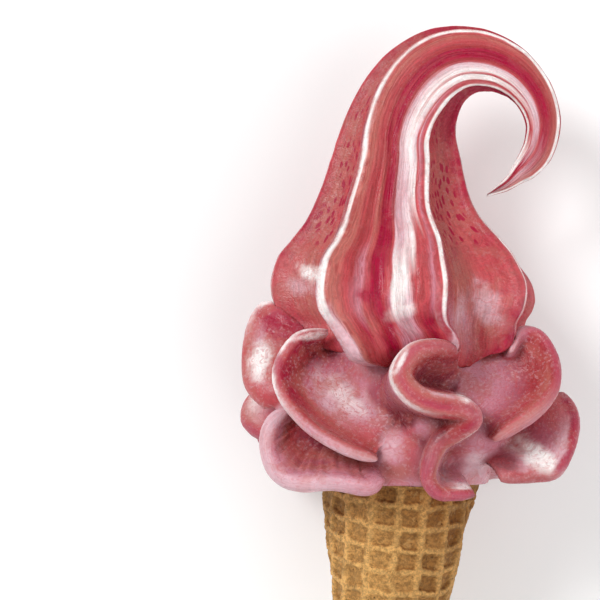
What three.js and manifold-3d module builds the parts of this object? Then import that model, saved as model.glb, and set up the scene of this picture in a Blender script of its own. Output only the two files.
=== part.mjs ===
// A strawberry-ripple soft serve on a rolled wafer cone, lying on its back with the side that shows up.
//
// Millimetres. +Z is up, +Y runs along the ice cream from the cone to the curl, +X is to the right as it
// is looked down on. The origin is on the flat spot that the ruffle rests on, straight below the ice
// cream's axis. Distances along and across are counted from the middle of the ruffle until the whole is
// placed at the end. Three pieces: the cone, the ruffle of folded ribbon that sits on it, and the ridged
// plume that ends in a curl.

import * as THREE from "three";
import { mergeVertices } from "three/addons/utils/BufferGeometryUtils.js";
import Module from "manifold-3d";

const wasm = await Module();
wasm.setup();

// ---- driving dimensions -----------------------------------------------------------------------------

const AXIS_HEIGHT = 41.4; // the ice cream's axis above the surface that it rests on
const REST_ALONG = 12; // how far along the ice cream the origin lies, in the middle of the flat spot
const CLEARANCE = 0.3; // left between two pieces that touch

const CONE = {
  mouth: [-2.1, -16.5], // centre of the rim, across and along
  lean: 5.4, // degrees that the cone leans off the ice cream's axis
  halfAngle: 11.6, // degrees
  mouthRadius: 25.6,
  tipRadius: 3.2,
  sheet: 1.3, // thickness of the wafer, which is the step at the seam
  thinnestSheet: 0.25, // share of it that is left at the tip
  seamAtMouth: 45, // degrees round from +X to where the sheet's outer edge meets the rim
  seamTurn: -150, // degrees that the edge travels on its way to the tip
  plainRim: 6, // left without waffle squares, under the ruffle and at the tip
  plainTip: 26,
};

const WAFFLE = {
  across: 8.4, // pitch of the squares
  along: 6.7,
  firstRow: 0.55, // rows from the rim to the middle of the first one
  seamMargin: 0.62, // squares from the seam to the middle of the nearest one
  rib: 2.0, // width left standing between two squares
  depth: 1.0,
  depthSpread: [0.6, 1.1],
  floor: 0.78, // share of a square's size at its floor and at its mouth
  mouth: 1.12,
};

// Seven ridges run up the plume. Each is at an angle round its axis, in degrees, which drifts on the way up.
// The rise is 0 at the base and 1 where the curl starts.
const RIDGES = [
  { rise: 0.15, angles: [176, 121.5, 66, 28, -14, -62, -118] },
  { rise: 0.38, angles: [176.5, 130.5, 75.5, 31.5, -18, -66, -121] },
  { rise: 0.7, angles: [177.5, 124, 68, 19, -32, -80, -129] },
  { rise: 0.95, angles: [178, 121, 62, 10, -38, -85, -132] },
  { rise: 1.45, angles: [195, 152, 24, -6, -50, -95, -130] },
];
const CHANNEL_DEPTH = [0.34, 0.27, 0.36, 0.3, 0.3, 0.32, 0.32]; // share of the radius, after each ridge
const CHANNEL_SHAPE = [0.6, 1.0, 0.6, 0.7, 0.7, 0.7, 0.7]; // the lower, the steeper a channel's sides
const RIDGE_EDGE = [1.4, 1.9, 1.0, 1.3, 1.4, 1.4, 1.4]; // half the width of a ridge's edge at the base
const FULL_EDGE_RADIUS = 22; // a ridge's edge narrows where the plume is thinner than this
const MIN_EDGE = 0.2;
const MAX_EDGE_SHARE = 0.3; // of the way to the next ridge
const TIP_RADIUS = 0.5;

// The stem of the plume: [along, across, above the axis, radius].
const STEM = [
  [13.4, 0.2, 5.0, 20.0],
  [14.8, 0.2, 4.8, 29.5],
  [17.4, 0.2, 4.6, 33.6],
  [21.6, 0.2, 4.0, 35.4],
  [26.0, 0.2, 3.0, 36.4],
  [31.5, 0.0, 2.0, 39.6],
  [38.4, -0.6, 1.0, 40.2],
  [46.2, -2.2, 0.4, 36.7],
  [51.6, -2.8, 0.0, 31.9],
  [57.6, -3.6, 0.0, 26.6],
  [63.6, -4.0, 0.0, 23.3],
  [69.6, -3.9, 0.0, 21.0],
  [75.6, -3.6, 0.0, 19.4],
  [81.0, -3.3, 0.0, 17.9],
];

// The curl is a spiral round a centre: [degrees round it, distance from it, radius of the section].
const CURL_CENTRE = [26.7, 86.1];
const CURL = [
  [180, 29.8, 16.5],
  [135, 25.2, 12.5],
  [90, 18.7, 8.9],
  [45, 14.7, 6.4],
  [0, 13.9, 5.2],
  [-45, 14.9, 4.6],
  [-70, 16.3, 2.9],
  [-98, 21.2, 0.5],
];

// The folds of ribbon that show. rim is the line along the middle of the outer edge and root is where the
// fold leaves the core, both as [across, along, above the axis]. belly pushes the middle of the fold out,
// and thick is the ribbon's thickness from one end of the rim to the other.
const FOLDS = {
  left_bowl: {
    rim: [
      [-24, 24.6, 17], [-33, 22.5, 22], [-38.7, 14, 26], [-37.6, 5.4, 29], [-30, -3.6, 33], [-20, -9.8, 36],
      [-9.5, -13.6, 37],
    ],
    root: [[-20, 18, 6], [-12, 13, 10], [-6, 5, 16], [-3, -2, 22]],
    belly: [-4, -3, -3],
    thick: [3.4, 3.6, 4.4],
  },
  front_scroll: {
    rim: [
      [15, 19, 33], [8.3, 20, 39], [1, 18, 42], [-2.9, 11.8, 43.5], [0.6, 6, 44], [7.6, 3.0, 44.5],
      [15, 1.8, 44], [17.8, -1.5, 42], [13.5, -5, 39], [8.5, -8.5, 38], [6, -14, 38.5], [5.4, -19, 38],
      [8, -23, 37], [13, -23.8, 36], [19.5, -24, 34],
    ],
    root: [
      [14, 12, 16], [2, 10, 18], [-3, 6, 20], [10, 1, 18], [15, -3, 16], [8, -10, 16], [8, -16, 16],
      [14, -16, 16],
    ],
    belly: [0, 0, 0],
    thick: [5, 7.4, 7, 5, 4.6],
  },
  right_bowl: {
    rim: [
      [30, 18, 21], [33.6, 24.4, 17], [39.5, 22.5, 18], [43.2, 15, 21], [42.6, 7.5, 25], [37, 0.6, 30],
      [24.6, -7.8, 35],
    ],
    root: [[20.6, 16.4, 13.4], [16, 12, 16], [14, 6, 18], [15, -3, 22]],
    belly: [3, -1, -3],
    thick: [3.4, 3.6, 5.4],
  },
  far_left: {
    rim: [[-38, 31, 4], [-42.5, 31.5, 2], [-46.5, 25, 2], [-47.8, 16, 5], [-47, 8, 9], [-42, 1, 12]],
    root: [[-20, 22, 0], [-18, 16, 2], [-18, 8, 6]],
    belly: [-2, 0, 5],
    thick: [5, 4.4, 4.4],
  },
  low_far_left: {
    rim: [[-45, 6, -10], [-47.6, 1, -9], [-47.6, -4, -6], [-43, -8, 0]],
    root: [[-18, 2.5, -6.6], [-18, -6, -2]],
    belly: [0, 0, 3],
    thick: [5, 5],
  },
  low_left_bowl: {
    rim: [
      [-36, 1, 18], [-40.6, -3, 19], [-42, -9.6, 21], [-39.4, -17, 25], [-33, -20.2, 28], [-22, -20, 31],
      [-13, -21.6, 33], [-7.5, -19.5, 31],
    ],
    root: [[-22, 0, 8], [-18, -4, 8], [-14, -8, 12], [-8, -11, 20]],
    belly: [-3, 1, -4],
    thick: [5, 6, 5.6],
  },
  low_right_bowl: {
    rim: [
      [45.5, 6, 6], [48.6, 0, 10], [48.8, -6, 14], [46.5, -12.6, 18], [42.6, -18, 22], [34.8, -18.9, 26],
      [26.6, -19.6, 28],
    ],
    root: [[22, 0, 6], [20, -6, 8], [18, -11, 12]],
    belly: [2, 0, 4],
    thick: [4.4, 4.4],
  },
};

const FOOT_THICKNESS = 2; // how many times as thick the ribbon is at its root as at its rim
const END_THICKNESS = 0.32; // and how thick its two ends are, as a share
const END_ROUNDNESS = 8; // the higher, the shorter the stretch that thins

// Soft bulges between the folds: [across, along, above the axis], then the half sizes along the same.
const BULGES = [
  { at: [0.5, -12, 25], size: [10, 12, 11.5] },
  { at: [9, -2.5, 25], size: [11, 6.5, 12] },
  { at: [17, -12, 19], size: [12, 10, 12] },
];

// The folds round the back repeat the ones that show: like names one, turn is the degrees that it turns
// round the axis, reach scales its distance from the axis, and shift moves it along. They all tilt, so
// that the scroll lies level where it rests.
const BACK_FOLDS = [
  { like: "left_bowl", turn: -168, reach: 0.97, shift: 0 },
  { like: "front_scroll", turn: -170, reach: 0.97, shift: 4 },
  { like: "right_bowl", turn: -172, reach: 0.98, shift: 0 },
  { like: "far_left", turn: 34, reach: 0.92, shift: 0 },
  { like: "low_left_bowl", turn: -166, reach: 0.98, shift: 0 },
  { like: "low_right_bowl", turn: -174, reach: 0.95, shift: 0 },
];
const BACK_TILT = 5; // degrees

// The core under the folds: [along, radius].
const CORE = [
  [-21.5, 0], [-21.5, 26.5], [-19, 28], [-15, 27.6], [-8, 25], [10, 24], [20, 24], [27, 22], [27, 0],
];

// How finely each piece is faceted.
const FACETS = {
  coneSides: 22,
  coneRings: 5,
  tipRings: [-88, -60, -35], // degrees up the round tip
  plumeSections: 34,
  curlPoints: 13, // on the line that the sections of the curl are spread along
  channelPoints: [0.1, 0.35, 0.65, 0.9], // shares of the way across a channel
  foldDepth: 4, // points from a fold's root to its rim
  foldEdge: [35, 90, 145], // degrees over its round edge
  shownFold: 1.7, // sections for each point that its rim is given by
  backFold: 1,
  coreSides: 16,
  bulgeSides: 10,
};

// ---- shape helpers ----------------------------------------------------------------------------------

const radians = THREE.MathUtils.degToRad;
const mix = THREE.MathUtils.lerp;
const smoothstep = THREE.MathUtils.smoothstep;

/** A smooth line through points, sampled at count places. */
function smoothLine(points, count) {
  const curve = new THREE.CatmullRomCurve3(points, false, "catmullrom", 0.5);
  return curve.getPoints(count - 1);
}

/** A closed skin through loops of equal length, with a fan over each end, facing out. */
function loft(loops) {
  const around = loops[0].length;
  const vertices = loops.flat();
  const index = [];
  for (let i = 0; i < loops.length - 1; i++) {
    for (let j = 0; j < around; j++) {
      const a = i * around + j;
      const b = i * around + ((j + 1) % around);
      index.push(a, b, a + around, b, b + around, a + around);
    }
  }
  const fan = (loop, start, flipped) => {
    const centre = loop.reduce((sum, p) => sum.add(p), new THREE.Vector3()).divideScalar(around);
    const hub = vertices.push(centre) - 1;
    for (let j = 0; j < around; j++) {
      const a = start + j;
      const b = start + ((j + 1) % around);
      index.push(hub, ...(flipped ? [a, b] : [b, a]));
    }
  };
  fan(loops[0], 0, false);
  fan(loops.at(-1), (loops.length - 1) * around, true);
  const geometry = new THREE.BufferGeometry().setFromPoints(vertices);
  geometry.setIndex(signedVolume(vertices, index) < 0 ? index.reverse() : index);
  return geometry;
}

function signedVolume(vertices, index) {
  let sum = 0;
  const cross = new THREE.Vector3();
  for (let i = 0; i < index.length; i += 3) {
    const [a, b, c] = [vertices[index[i]], vertices[index[i + 1]], vertices[index[i + 2]]];
    sum += a.dot(cross.crossVectors(b, c)) / 6;
  }
  return sum;
}

function solidOf(geometry) {
  const bare = new THREE.BufferGeometry().setAttribute("position", geometry.getAttribute("position"));
  bare.setIndex(geometry.getIndex());
  const merged = mergeVertices(bare, 1e-4);
  return new wasm.Manifold(
    new wasm.Mesh({
      numProp: 3,
      vertProperties: new Float32Array(merged.attributes.position.array),
      triVerts: new Uint32Array(merged.index.array),
    }),
  );
}

function geometryOf(solid) {
  const mesh = solid.getMesh();
  const geometry = new THREE.BufferGeometry();
  geometry.setAttribute("position", new THREE.BufferAttribute(mesh.vertProperties, mesh.numProp));
  geometry.setIndex(new THREE.BufferAttribute(mesh.triVerts, 1));
  geometry.computeVertexNormals();
  return geometry;
}

/** The largest of the bodies that a cut leaves. */
function largest(solid) {
  return solid.decompose().reduce((best, body) => (body.volume() > best.volume() ? body : best));
}

/** Numbers that look random and are the same on every run. */
function seededRandom(seed) {
  let state = seed;
  return () => {
    state = (state * 1664525 + 1013904223) % 4294967296;
    return state / 4294967296;
  };
}

// ---- the cone ---------------------------------------------------------------------------------------

const coneLength = CONE.mouthRadius / Math.tan(radians(CONE.halfAngle)); // from the rim to the sharp apex

/** Places a shape built with the apex at the origin and the axis up +Y into the part. */
function placeCone(geometry) {
  const [across, along] = CONE.mouth;
  return geometry
    .translate(0, -coneLength, 0)
    .rotateZ(radians(-CONE.lean))
    .translate(across, along, 0);
}

/** Degrees at which the sheet's outer edge lies, at a distance from the apex along the axis. */
function seamAngle(distance) {
  return CONE.seamAtMouth + CONE.seamTurn * (1 - distance / coneLength);
}

/** One ring of the rolled sheet: over a turn its radius falls by the sheet's thickness. */
function coneRing(distance, radius) {
  const seam = seamAngle(distance);
  const step = CONE.sheet * Math.min(1, radius / CONE.mouthRadius + CONE.thinnestSheet);
  const points = [];
  for (let i = 0; i < FACETS.coneSides; i++) {
    const angle = radians(seam + (360 * i) / FACETS.coneSides);
    const r = radius - (step * i) / (FACETS.coneSides - 1);
    points.push(new THREE.Vector3(r * Math.cos(angle), distance, r * Math.sin(angle)));
  }
  return points;
}

/** The smooth cone, filled, with a rounded tip. */
function coneBlank(grow = 0) {
  const slope = Math.tan(radians(CONE.halfAngle));
  const tipCentre = CONE.tipRadius / Math.sin(radians(CONE.halfAngle));
  const rings = [];
  for (const angle of FACETS.tipRings.map(radians)) {
    rings.push(coneRing(tipCentre + CONE.tipRadius * Math.sin(angle), CONE.tipRadius * Math.cos(angle)));
  }
  const start = tipCentre * Math.cos(radians(CONE.halfAngle)) ** 2;
  for (let i = 0; i < FACETS.coneRings; i++) {
    const distance = mix(start, coneLength, i / (FACETS.coneRings - 1));
    rings.push(coneRing(distance, distance * slope + grow));
  }
  return placeCone(loft(rings));
}

/** The waffle squares, as blocks to be cut out. Their grid is straight on the unrolled sheet. */
function waffleSquares() {
  const random = seededRandom(7);
  const alpha = radians(CONE.halfAngle);
  const halfSheet = Math.PI * Math.sin(alpha); // half the sheet's angle once it is unrolled
  const slant = coneLength / Math.cos(alpha);
  const columns = Math.ceil(slant / WAFFLE.across);
  const rows = Math.ceil(slant / WAFFLE.along);
  const squares = [];
  for (let row = 0; row < rows; row++) {
    for (let column = -columns; column <= columns; column++) {
      const p = (column + 0.5) * WAFFLE.across;
      const q = slant - (row + WAFFLE.firstRow) * WAFFLE.along;
      const distance = Math.hypot(p, q);
      const sheetAngle = Math.atan2(p, q);
      const onSheet = Math.abs(sheetAngle) < halfSheet - (WAFFLE.seamMargin * WAFFLE.across) / distance;
      if (!onSheet || q < CONE.plainTip || distance > slant - CONE.plainRim) continue;
      const angle = Math.PI / 2 - sheetAngle / Math.sin(alpha);
      const depth = WAFFLE.depth * mix(...WAFFLE.depthSpread, random());
      squares.push(waffleSquare(distance, angle, sheetAngle, depth));
    }
  }
  return squares;
}

/** One square: a tapered block lying in the cone's surface, turned to follow the sheet's straight grid. */
function waffleSquare(distance, angle, sheetAngle, depth) {
  const alpha = radians(CONE.halfAngle);
  const tall = 4 * WAFFLE.depth; // stands well clear of the surface
  const block = new THREE.BoxGeometry(WAFFLE.across - WAFFLE.rib, WAFFLE.along - WAFFLE.rib, tall);
  const position = block.getAttribute("position");
  for (let i = 0; i < position.count; i++) {
    const taper = position.getZ(i) < 0 ? WAFFLE.floor : WAFFLE.mouth;
    position.setX(i, position.getX(i) * taper);
    position.setY(i, position.getY(i) * taper);
  }
  block.translate(0, 0, tall / 2 - depth);
  block.rotateZ(sheetAngle);
  block.rotateX(-alpha);
  const radius = distance * Math.sin(alpha) - CONE.sheet * sheetDrop(distance, angle);
  block.translate(0, distance * Math.cos(alpha), radius);
  block.rotateY(Math.PI / 2 - angle);
  return placeCone(block);
}

/** The share of the sheet's thickness by which the surface lies lower at an angle, from the seam round. */
function sheetDrop(distance, angle) {
  const seam = seamAngle(distance * Math.cos(radians(CONE.halfAngle)));
  return THREE.MathUtils.euclideanModulo(THREE.MathUtils.radToDeg(angle) - seam, 360) / 360;
}

function waferCone() {
  const blocks = waffleSquares().map(solidOf);
  return largest(solidOf(coneBlank()).subtract(wasm.Manifold.union(blocks)));
}

// ---- the plume --------------------------------------------------------------------------------------

/**
 * Where the plume's axis runs, how wide the plume is there, and which way its section faces, from the base
 * to the tip. Round the curl a section lies in a plane through the curl's centre, so no two of them cross.
 */
function plumeStations(count) {
  const [centreAcross, centreAlong] = CURL_CENTRE;
  const onStem = STEM.map(([along, across, above, radius]) => ({
    point: [across, along, above],
    radius,
    turned: 180,
  }));
  const curl = smoothLine(CURL.map((p) => new THREE.Vector3(...p)), FACETS.curlPoints);
  const onCurl = curl.map(({ x: degrees, y: distance, z: radius }) => ({
    point: [
      centreAcross + distance * Math.cos(radians(degrees)),
      centreAlong + distance * Math.sin(radians(degrees)),
      0,
    ],
    radius,
    turned: degrees,
  }));
  const stations = [...onStem, ...onCurl];
  const axis = smoothLine(stations.map((s) => new THREE.Vector3(...s.point)), count);
  const sizes = smoothLine(stations.map((s) => new THREE.Vector3(s.radius, s.turned, 0)), count);
  const neck = (onStem.length - 1) / (stations.length - 1); // share of the way at which the stem ends
  return axis.map((point, i) => {
    const turned = radians(sizes[i].y);
    const inward = new THREE.Vector3(-Math.cos(turned), -Math.sin(turned), 0);
    return { point, inward, radius: Math.max(TIP_RADIUS, sizes[i].x), rise: i / (count - 1) / neck };
  });
}

/** Degrees at which a ridge lies, by how far up the plume. */
function ridgeAngle(ridge, rise) {
  let angle = RIDGES[0].angles[ridge];
  for (let i = 1; i < RIDGES.length; i++) {
    const [from, to] = [RIDGES[i - 1], RIDGES[i]];
    angle += smoothstep(rise, from.rise, to.rise) * (to.angles[ridge] - from.angles[ridge]);
  }
  return angle;
}

/** The outline of the plume at one station: a star of blunt ridges with hollow channels between them. */
function plumeLoop({ point, inward, radius, rise }, grow) {
  const forward = new THREE.Vector3(0, 0, 1);
  const outline = [];
  const add = (angle, r) => {
    outline.push(
      point
        .clone()
        .addScaledVector(inward, r * Math.cos(angle))
        .addScaledVector(forward, r * Math.sin(angle)),
    );
  };
  const ridges = CHANNEL_DEPTH.length;
  for (let ridge = 0; ridge < ridges; ridge++) {
    const wrap = ridge + 1 === ridges ? -360 : 0;
    const here = radians(ridgeAngle(ridge, rise));
    const next = radians(ridgeAngle((ridge + 1) % ridges, rise) + wrap);
    const bluntness = RIDGE_EDGE[ridge] * Math.min(1, radius / FULL_EDGE_RADIUS) + MIN_EDGE;
    const edge = Math.min(MAX_EDGE_SHARE * Math.abs(next - here), bluntness / radius);
    add(here + edge, radius + grow);
    add(here - edge, radius + grow);
    for (const a of FACETS.channelPoints) {
      const hollow = CHANNEL_DEPTH[ridge] * Math.sin(Math.PI * a) ** CHANNEL_SHAPE[ridge];
      add(mix(here - edge, next + edge, a), radius * (1 - hollow) + grow);
    }
  }
  return outline;
}

function plume(grow = 0) {
  const stations = plumeStations(FACETS.plumeSections);
  return solidOf(loft(stations.map((station) => plumeLoop(station, grow))));
}

// ---- the ruffle -------------------------------------------------------------------------------------

/** One fold of ribbon: a curved sheet from its root to its rim, with a round edge and thin ends. */
function foldOfRibbon({ rim, root, belly, thick }, fineness) {
  const last = FACETS.foldDepth - 1;
  const lengthwise = Math.ceil(fineness * rim.length) + 1;
  const vector = (p) => new THREE.Vector3(...p);
  const edge = smoothLine(rim.map(vector), lengthwise);
  const feet = smoothLine(root.map(vector), lengthwise);
  const thickness = smoothLine(thick.map((t) => vector([t, 0, 0])), lengthwise);
  const push = vector(belly);
  const sheet = edge.map((p, i) =>
    Array.from({ length: FACETS.foldDepth }, (_, j) => {
      const v = j / last;
      return feet[i].clone().lerp(p, v).addScaledVector(push, Math.sin(Math.PI * v));
    }),
  );
  const loops = sheet.map((row, i) => {
    const before = sheet[Math.max(0, i - 1)];
    const after = sheet[Math.min(lengthwise - 1, i + 1)];
    const offMiddle = Math.abs((2 * i) / (lengthwise - 1) - 1);
    const taper = Math.max(END_THICKNESS, Math.sqrt(1 - offMiddle ** END_ROUNDNESS));
    const half = (thickness[i].x / 2) * taper;
    const halfAt = (j) => half * mix(FOOT_THICKNESS, 1, Math.sqrt(j / last));
    const normals = row.map((_, j) => {
      const outward = row[Math.min(last, j + 1)].clone().sub(row[Math.max(0, j - 1)]);
      const lengthways = after[j].clone().sub(before[j]);
      return lengthways.cross(outward).normalize();
    });
    const outward = row[last].clone().sub(row[last - 1]).normalize();
    const front = row.map((p, j) => p.clone().addScaledVector(normals[j], halfAt(j)));
    const back = row.map((p, j) => p.clone().addScaledVector(normals[j], -halfAt(j))).reverse();
    const over = FACETS.foldEdge.map((degrees) =>
      row[last]
        .clone()
        .addScaledVector(normals[last], half * Math.cos(radians(degrees)))
        .addScaledVector(outward, half * Math.sin(radians(degrees))),
    );
    return [...front, ...over, ...back];
  });
  return solidOf(loft(loops));
}

/** A fold for the back, as a fold that shows turned round the axis. */
function backFold({ like, turn, reach, shift }) {
  const place = new THREE.Matrix4()
    .makeTranslation(0, shift, 0)
    .multiply(new THREE.Matrix4().makeRotationX(radians(BACK_TILT)))
    .multiply(new THREE.Matrix4().makeRotationY(radians(-turn)))
    .scale(new THREE.Vector3(reach, 1, reach));
  const moved = (p) => new THREE.Vector3(...p).applyMatrix4(place).toArray();
  const { rim, root, belly, thick } = FOLDS[like];
  const size = Math.hypot(...belly);
  const push = new THREE.Vector3(...belly).transformDirection(place).multiplyScalar(size);
  return { rim: rim.map(moved), root: root.map(moved), belly: push.toArray(), thick };
}

/** A squashed ball. */
function bulge({ at, size }) {
  const ball = new THREE.SphereGeometry(1, FACETS.bulgeSides, FACETS.bulgeSides / 2 + 1);
  return solidOf(ball.scale(...size).translate(...at));
}

/** A body turned about the ice cream's axis. */
function core() {
  const profile = CORE.map(([along, radius]) => new THREE.Vector2(radius, along));
  return solidOf(new THREE.LatheGeometry(profile, FACETS.coreSides));
}

function ruffle() {
  const shown = Object.values(FOLDS).map((fold) => foldOfRibbon(fold, FACETS.shownFold));
  const behind = BACK_FOLDS.map((fold) => foldOfRibbon(backFold(fold), FACETS.backFold));
  return wasm.Manifold.union([core(), ...shown, ...behind, ...BULGES.map(bulge)]);
}

// ---- the whole --------------------------------------------------------------------------------------

const cut = {
  cone: waferCone(),
  plume: plume(),
};
cut.ruffle = largest(
  ruffle()
    .subtract(plume(CLEARANCE))
    .subtract(solidOf(coneBlank(CLEARANCE)))
    .trimByPlane([0, 0, 1], -AXIS_HEIGHT),
);

const MATERIALS = {
  cone: new THREE.MeshStandardMaterial({ color: 0xc4914a, roughness: 0.85, metalness: 0 }),
  ruffle: new THREE.MeshStandardMaterial({ color: 0xcf6f86, roughness: 0.45, metalness: 0 }),
  plume: new THREE.MeshStandardMaterial({ color: 0xc4586a, roughness: 0.4, metalness: 0 }),
};

const iceCream = new THREE.Group();
iceCream.position.set(0, -REST_ALONG, AXIS_HEIGHT);
for (const [name, solid] of Object.entries(cut)) {
  const mesh = new THREE.Mesh(geometryOf(solid), MATERIALS[name]);
  mesh.name = name;
  iceCream.add(mesh);
}

export default iceCream;
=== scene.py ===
"""A strawberry-ripple soft serve that lies on its back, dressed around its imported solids.

Three pieces are made here, each in place of a plain solid: the rolled wafer cone, the ruffle of folded
ribbon and the ridged plume. The tables are in millimetres, X across, Y along and Z above the ice cream's
axis, counted from the middle of the ruffle. Everything is in metres once it is placed.
"""

import math

import bpy
import numpy as np
from bpy.props import FloatProperty, FloatVectorProperty, IntProperty, PointerProperty
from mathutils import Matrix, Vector
from mathutils.kdtree import KDTree


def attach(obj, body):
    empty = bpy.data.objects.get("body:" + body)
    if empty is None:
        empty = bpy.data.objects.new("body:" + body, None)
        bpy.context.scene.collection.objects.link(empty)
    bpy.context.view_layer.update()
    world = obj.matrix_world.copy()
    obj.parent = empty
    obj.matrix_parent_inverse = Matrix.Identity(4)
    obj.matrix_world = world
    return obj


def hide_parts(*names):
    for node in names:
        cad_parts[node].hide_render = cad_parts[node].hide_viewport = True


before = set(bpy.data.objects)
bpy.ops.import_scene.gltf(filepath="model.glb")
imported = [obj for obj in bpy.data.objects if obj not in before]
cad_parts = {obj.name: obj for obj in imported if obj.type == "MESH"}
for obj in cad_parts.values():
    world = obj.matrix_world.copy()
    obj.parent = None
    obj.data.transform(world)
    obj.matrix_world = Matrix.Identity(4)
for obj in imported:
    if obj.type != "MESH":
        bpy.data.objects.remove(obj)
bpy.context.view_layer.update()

bl_info = {
    "name": "Ripple Soft Serve",
    "version": (1, 0, 0),
    "blender": (4, 5, 0),
    "location": "View3D > Sidebar > Soft Serve",
    "description": "Makes a soft serve with a curl on a rolled wafer cone, lying on its back",
    "category": "Object",
}

MM = 0.001

# Where the middle of the ruffle's axis lies in the frame.
AXIS_HEIGHT = 41.4
REST_ALONG = 12

# ---- tables of the ice cream's shape

# Seven ridges run up the plume: [rise, degrees round its axis]. The rise is 0 at the base and 1 at the neck.
RIDGES = [
    [0.15, [176, 121.5, 66, 28, -14, -62, -118]],
    [0.38, [176.5, 130.5, 75.5, 31.5, -18, -66, -121]],
    [0.7, [177.5, 124, 68, 19, -32, -80, -129]],
    [0.95, [178, 121, 62, 10, -38, -85, -132]],
    [1.45, [195, 152, 24, -6, -50, -95, -130]],
]
CHANNEL_DEPTH = [0.34, 0.27, 0.36, 0.3, 0.3, 0.32, 0.32]
CHANNEL_SHAPE = [0.6, 1.0, 0.6, 0.7, 0.7, 0.7, 0.7]
RIDGE_EDGE = [1.4, 1.9, 1.0, 1.3, 1.4, 1.4, 1.4]
FRONT_CHANNEL = 1  # the broad face between the two ridges that show best
FULL_EDGE_RADIUS = 22
MIN_EDGE = 0.2
MAX_EDGE_SHARE = 0.3
TIP_RADIUS = 0.5
NECK_BLEND = 0.045
CHANNEL_POINTS = [56, 88, 56, 24, 20, 20, 24]

# How far the plume's hem is drawn up, in millimetres, over each channel that shows.
HEM = {
    0: [5, 3, 2, 1, 0.5],
    1: [0.5, 0, 1.2, 2.7, 4.2, 4.8, 4, 4.5],
    2: [2.8, 0.6, -1.0, -2.0, -1.4, 3],
}
HEM_ELSEWHERE = 5
HEM_RISE = (0.02, 0.42)

# The stem of the plume: [along, across, above the axis, radius].
STEM = [
    [13.4, 0.2, 5.0, 20.0], [14.8, 0.2, 4.8, 29.5], [17.4, 0.2, 4.6, 33.6],
    [21.6, 0.2, 4.0, 35.4], [26.0, 0.2, 3.0, 36.4], [31.5, 0.0, 2.0, 39.6],
    [38.4, -0.6, 1.0, 40.2], [46.2, -2.2, 0.4, 36.7], [51.6, -2.8, 0.0, 31.9],
    [57.6, -3.6, 0.0, 26.6], [63.6, -4.0, 0.0, 23.3], [69.6, -3.9, 0.0, 21.0],
    [75.6, -3.6, 0.0, 19.4], [81.0, -3.3, 0.0, 17.9],
]

# The curl is a spiral round a centre: [degrees round it, distance from it, radius of the section].
CURL_CENTRE = [26.7, 86.1]
CURL = [
    [180, 29.8, 16.5], [135, 25.2, 12.5], [90, 18.7, 8.9], [45, 14.7, 6.4],
    [0, 13.9, 5.2], [-45, 14.9, 4.6], [-70, 16.3, 2.9], [-98, 21.2, 0.5],
]
CURL_POINTS = 13

# The folds of ribbon that show: the middle line of the outer edge, the line where the fold leaves the core,
# how far the middle is pushed out, and the ribbon's thickness from one end to the other.
FOLDS = {
    "left_bowl": {
        "rim": [
            [-24, 24.6, 17], [-33, 22.5, 22], [-38.7, 14, 26], [-37.6, 5.4, 29], [-30, -3.6, 33],
            [-20, -9.8, 36], [-9.5, -13.6, 37],
        ],
        "root": [[-20, 18, 6], [-12, 13, 10], [-6, 5, 16], [-3, -2, 22]],
        "belly": [-4, -3, -3], "thick": [3.4, 3.6, 4.4],
    },
    "front_scroll": {
        "rim": [
            [15, 19, 33], [8.3, 20, 39], [1, 18, 42], [-2.9, 11.8, 43.5], [0.6, 6, 44], [7.6, 3.0, 44.5],
            [15, 1.8, 44], [17.8, -1.5, 42], [13.5, -5, 39], [8.5, -8.5, 38], [6, -14, 38.5], [5.4, -19, 38],
            [8, -23, 37], [13, -23.8, 36], [19.5, -24, 34],
        ],
        "root": [
            [14, 12, 16], [2, 10, 18], [-3, 6, 20], [10, 1, 18], [15, -3, 16], [8, -10, 16], [8, -16, 16],
            [14, -16, 16],
        ],
        "belly": [0, 0, 0], "thick": [5, 7.4, 7, 5, 4.6],
    },
    "right_bowl": {
        "rim": [
            [30, 18, 21], [33.6, 24.4, 17], [39.5, 22.5, 18], [43.2, 15, 21], [42.6, 7.5, 25], [37, 0.6, 30],
            [24.6, -7.8, 35],
        ],
        "root": [[20.6, 16.4, 13.4], [16, 12, 16], [14, 6, 18], [15, -3, 22]],
        "belly": [3, -1, -3], "thick": [3.4, 3.6, 5.4],
    },
    "far_left": {
        "rim": [[-38, 31, 4], [-42.5, 31.5, 2], [-46.5, 25, 2], [-47.8, 16, 5], [-47, 8, 9], [-42, 1, 12]],
        "root": [[-20, 22, 0], [-18, 16, 2], [-18, 8, 6]],
        "belly": [-2, 0, 5], "thick": [5, 4.4, 4.4],
    },
    "low_far_left": {
        "rim": [[-45, 6, -10], [-47.6, 1, -9], [-47.6, -4, -6], [-43, -8, 0]],
        "root": [[-18, 2.5, -6.6], [-18, -6, -2]],
        "belly": [0, 0, 3], "thick": [5, 5],
    },
    "low_left_bowl": {
        "rim": [
            [-36, 1, 18], [-40.6, -3, 19], [-42, -9.6, 21], [-39.4, -17, 25], [-33, -20.2, 28],
            [-22, -20, 31], [-13, -21.6, 33], [-7.5, -19.5, 31],
        ],
        "root": [[-22, 0, 8], [-18, -4, 8], [-14, -8, 12], [-8, -11, 20]],
        "belly": [-3, 1, -4], "thick": [5, 6, 5.6],
    },
    "low_right_bowl": {
        "rim": [
            [45.5, 6, 6], [48.6, 0, 10], [48.8, -6, 14], [46.5, -12.6, 18],
            [42.6, -18, 22], [34.8, -18.9, 26], [26.6, -19.6, 28],
        ],
        "root": [[22, 0, 6], [20, -6, 8], [18, -11, 12]],
        "belly": [2, 0, 4], "thick": [4.4, 4.4],
    },
}
FOOT_THICKNESS = 2
END_THICKNESS = 0.32
END_ROUNDNESS = 8

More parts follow.
